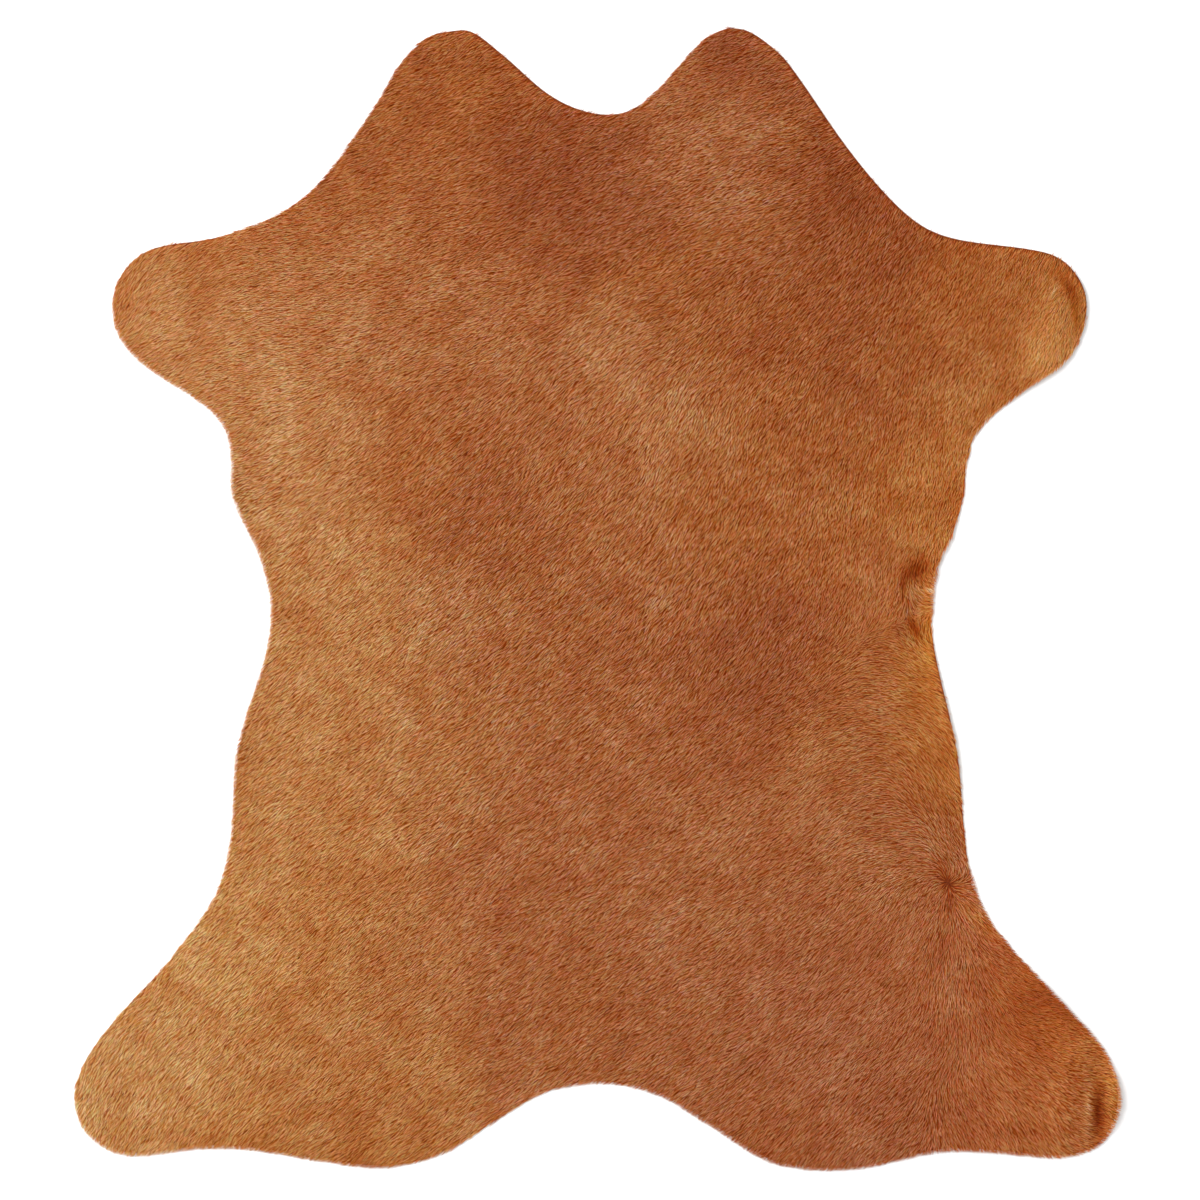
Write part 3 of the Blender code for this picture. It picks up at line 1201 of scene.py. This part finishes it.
@dataclass
class Coat:
    """The short hair, combed flat, in bands from neck to tail."""

    leather: Leather
    layers: tuple[Layer, ...] = (UNDER_HAIR, TOP_HAIR)
    sway: float = math.radians(16.0)  # how far whole locks turn together
    waver: float = math.radians(17.0)  # how far small tufts turn together
    roll: float = math.radians(25.0)  # how far a blade may roll about its own length
    tuft: float = 0.15  # how much the shade of tufts differs
    contrast: float = 1.2  # how much the shade of hairs differs
    flush: float = 0.4  # how much ruddier the coat gets on each metre to the right
    fringe: float = 2.1 * MM  # how far roots move over the cut edge
    fringe_lie: float = 0.35  # how far outwards hair may lie before its roots stay
    edge_nap: float = 0.35  # how high the hair stands at the outline, as a share
    nap_width: float = 9.0 * MM  # how far in that share grows by 1
    lowest: float = 0.2 * MM  # no hair is nearer to the floor
    seed: int = 3  # of the first band's under hair
    band_seed: int = 23  # how much it goes up from band to band
    layer_seed: int = 100  # and from layer to layer

    def ground(self, band: Band, flat: np.ndarray, faces: np.ndarray, rim: int) -> Object:
        """Make the stretch of skin that one band of hair grows on, with what steers it.

        Args:
            band: which band.
            flat: x and y of the sheet's corners, with the cut edge's first and in order.
            faces: the sheet's triangles.
            rim: how many corners the cut edge has.

        Returns:
            The stretch of skin.
        """
        middle = flat[faces].mean(axis=1)[:, 1] / MM
        chosen = faces[(middle >= band.value[0]) & (middle < band.value[1])]
        used, renumbered = np.unique(chosen, return_inverse=True)
        places = flat[used]
        points = np.column_stack([places, lift_at(places) + self.leather.thick])
        triangles = [tuple(face) for face in renumbered.reshape(-1, 3).tolist()]
        mesh = new_mesh("ground", points, triangles)
        lie = lie_at(places)
        outward = self.leather.outward(flat[:rim])
        outwards = (lie_at(flat[:rim]) * outward).sum(axis=1)
        out = np.zeros_like(flat)
        out[:rim] = outward * np.clip(self.fringe_lie - outwards, 0.0, 1.0)[:, None]
        for name, ways in (("lie", lie), ("out", out[used])):
            vectors = mesh.attributes.new(name, "FLOAT_VECTOR", "POINT")
            level = np.column_stack([ways, np.zeros(len(ways))])
            vectors.data.foreach_set("vector", level.ravel())
        outline = self.leather.outline()
        nap = self.edge_nap + rim_distance(places, outline) / self.nap_width
        for name, values in {
            **dict(zip(("tone", "gold", "crisp"), shade_and_painted_light_at(places).T)),
            "room": room_ahead(places, lie, outline),
            "nap": np.clip(nap, 0.0, 1.0),
            "flush": self.flush * places[:, 0],
        }.items():
            mesh.attributes.new(name, "FLOAT", "POINT").data.foreach_set("value", values)
        return new_object(f"ground_{band.name.lower()}", mesh)

    def grow(self, name: str, tree: NodeTree, ground: Object, given: dict[str, Any]) -> Object:
        """Grow one layer of one band.

        Args:
            name: the new piece's name.
            tree: the hair tree.
            ground: the stretch of skin.
            given: what each of the tree's inputs gets, by its name, among other things.

        Returns:
            The hair as a plain mesh.
        """
        modifier = ground.modifiers.new("hair", "NODES")
        modifier.node_group = tree
        for item in tree.interface.items_tree:
            if item.in_out == "INPUT" and item.name in given:
                modifier[item.identifier] = given[item.name]
        graph = bpy.context.evaluated_depsgraph_get()
        mesh = bpy.data.meshes.new_from_object(ground.evaluated_get(graph), depsgraph=graph)
        mesh.name = name
        for steering in ("lie", "out", "room", "nap", "crisp", "flush"):
            mesh.attributes.remove(mesh.attributes[steering])
        places = np.empty(3 * len(mesh.vertices), dtype=np.float32)
        mesh.vertices.foreach_get("co", places)
        places = places.reshape(-1, 3)
        for look, change in zip(("tone", "gold"), marks_and_painted_light_at(places[:, :2]).T):
            values = np.empty(len(places), dtype=np.float32)
            mesh.attributes[look].data.foreach_get("value", values)
            mesh.attributes[look].data.foreach_set("value", values + change)
        places[:, 2] = np.maximum(places[:, 2], self.lowest)
        mesh.vertices.foreach_set("co", places.ravel())
        mesh.update()
        mesh.shade_smooth()
        ground.modifiers.remove(modifier)
        return new_object(name, mesh)

    def build(self) -> list[Object]:
        """Grow all layers of all bands.

        Returns:
            The pieces, from neck to tail.
        """
        flat, faces, rim = self.leather.surface()
        tree = HairTree(bpy.data.node_groups.new("combed_hair", "GeometryNodeTree")).build()
        shared = {**vars(self), "material": HairFinish().material()}
        pieces = []
        for number, band in enumerate(Band):
            ground = self.ground(band, flat, faces, rim)
            for depth, layer in enumerate(self.layers):
                seed = self.band_seed * number + self.layer_seed * depth + self.seed
                blade = layer.blade()
                given = {**shared, **vars(layer), "blade": blade, "seed": seed}
                name = f"{layer.name}_{band.name.lower()}"
                pieces.append(self.grow(name, tree, ground, given))
                bpy.data.objects.remove(blade)
            bpy.data.objects.remove(ground)
        return pieces


@dataclass
class Studio:
    """A white floor, soft light from the left and a camera that looks straight down."""

    middle: tuple[float, float] = (2.5 * MM, -0.8 * MM)  # what the camera looks at
    across: float = 998.4 * MM  # how wide the picture is, at the height of the hair
    hair_height: float = 3.0 * MM  # how high that is over the floor
    lens: float = 85.0
    sensor: float = 36.0
    floor_size: float = 12.0
    gap: float = 0.3 * MM  # how far the floor is below the hide
    white: str = "#FBFBFB"
    off_white: str = "#F9F9F9"
    cloud: float = 3.0 * MM  # how wide the paper's clouds are
    paper_roughness: float = 0.9
    paper_shine: float = 0.1
    lamp_place: tuple[float, float, float] = (-1.5, 0.7, 2.3)
    lamp_size: float = 1.6
    lamp_power: float = 76.0  # in watts
    sky: float = 0.78  # how strong the light from all round is

    def floor(self) -> Object:
        """Lay the floor just under the hide.

        Returns:
            The floor.
        """
        half = self.floor_size / 2
        level = [(-half, -half, 0), (half, -half, 0), (half, half, 0), (-half, half, 0)]
        mesh = new_mesh("floor", np.array(level) - (0, 0, self.gap), [(0, 1, 2, 3)])
        mesh.materials.append(self.paper())
        return new_object("floor", mesh)

    def paper(self) -> Material:
        """Build the background paper: matt and white, with a faint cloudiness of its fibres.

        Returns:
            The material.
        """
        paper = Surface("matt_white_paper")
        clouds = paper.noise(paper.place, 1.0 / self.cloud)
        inputs = {
            "Base Color": paper.ramp(clouds, (0.0, self.off_white), (1.0, self.white)),
            "Roughness": self.paper_roughness,
            "Specular IOR Level": self.paper_shine,
        }
        return paper.finished(inputs)

    def lamp(self) -> None:
        """Hang a square lamp at the left that points at the middle of the hide."""
        light = bpy.data.lights.new("window_left", "AREA")
        light.size = self.lamp_size
        light.energy = self.lamp_power
        lamp = new_object("window_left", light)
        lamp.location = self.lamp_place
        lamp.rotation_euler = Vector(self.lamp_place).to_track_quat("Z", "Y").to_euler()

    def camera(self) -> None:
        """Hang the camera over the hide, so far up that the picture is as wide as asked."""
        lens = bpy.data.cameras.new("camera")
        lens.lens = self.lens
        lens.sensor_width = self.sensor
        camera = new_object("camera", lens)
        height = self.across * self.lens / self.sensor + self.hair_height
        camera.location = (*self.middle, height)
        bpy.context.scene.camera = camera

    def build(self) -> None:
        """Set up the floor, the lights and the camera."""
        self.floor()
        self.lamp()
        world = bpy.data.worlds.new("studio")
        world.use_nodes = True
        white = (1.0, 1.0, 1.0, 1.0)
        fill(world.node_tree.nodes["Background"], {"Color": white, "Strength": self.sky})
        bpy.context.scene.world = world
        bpy.context.scene.view_settings.view_transform = "Standard"
        self.camera()


def report(piece: Object) -> None:
    """Log a finished piece's size in triangles."""
    triangles = sum(len(face.vertices) - 2 for face in piece.data.polygons)
    LOG.info("%s: %d triangles", piece.name, triangles)


def main() -> None:
    """Build the hide and the studio, piece by piece."""
    logging.basicConfig(level=logging.INFO, format="%(name)s: %(message)s")
    leather = Leather()
    sheet = leather.build()
    report(sheet)
    pile = Coat(leather).build()
    for band in pile:
        report(band)
        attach(band, "root")
    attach(sheet, "root")
    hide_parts("hide")
    Studio().build()


if __name__ == "__main__":
    main()
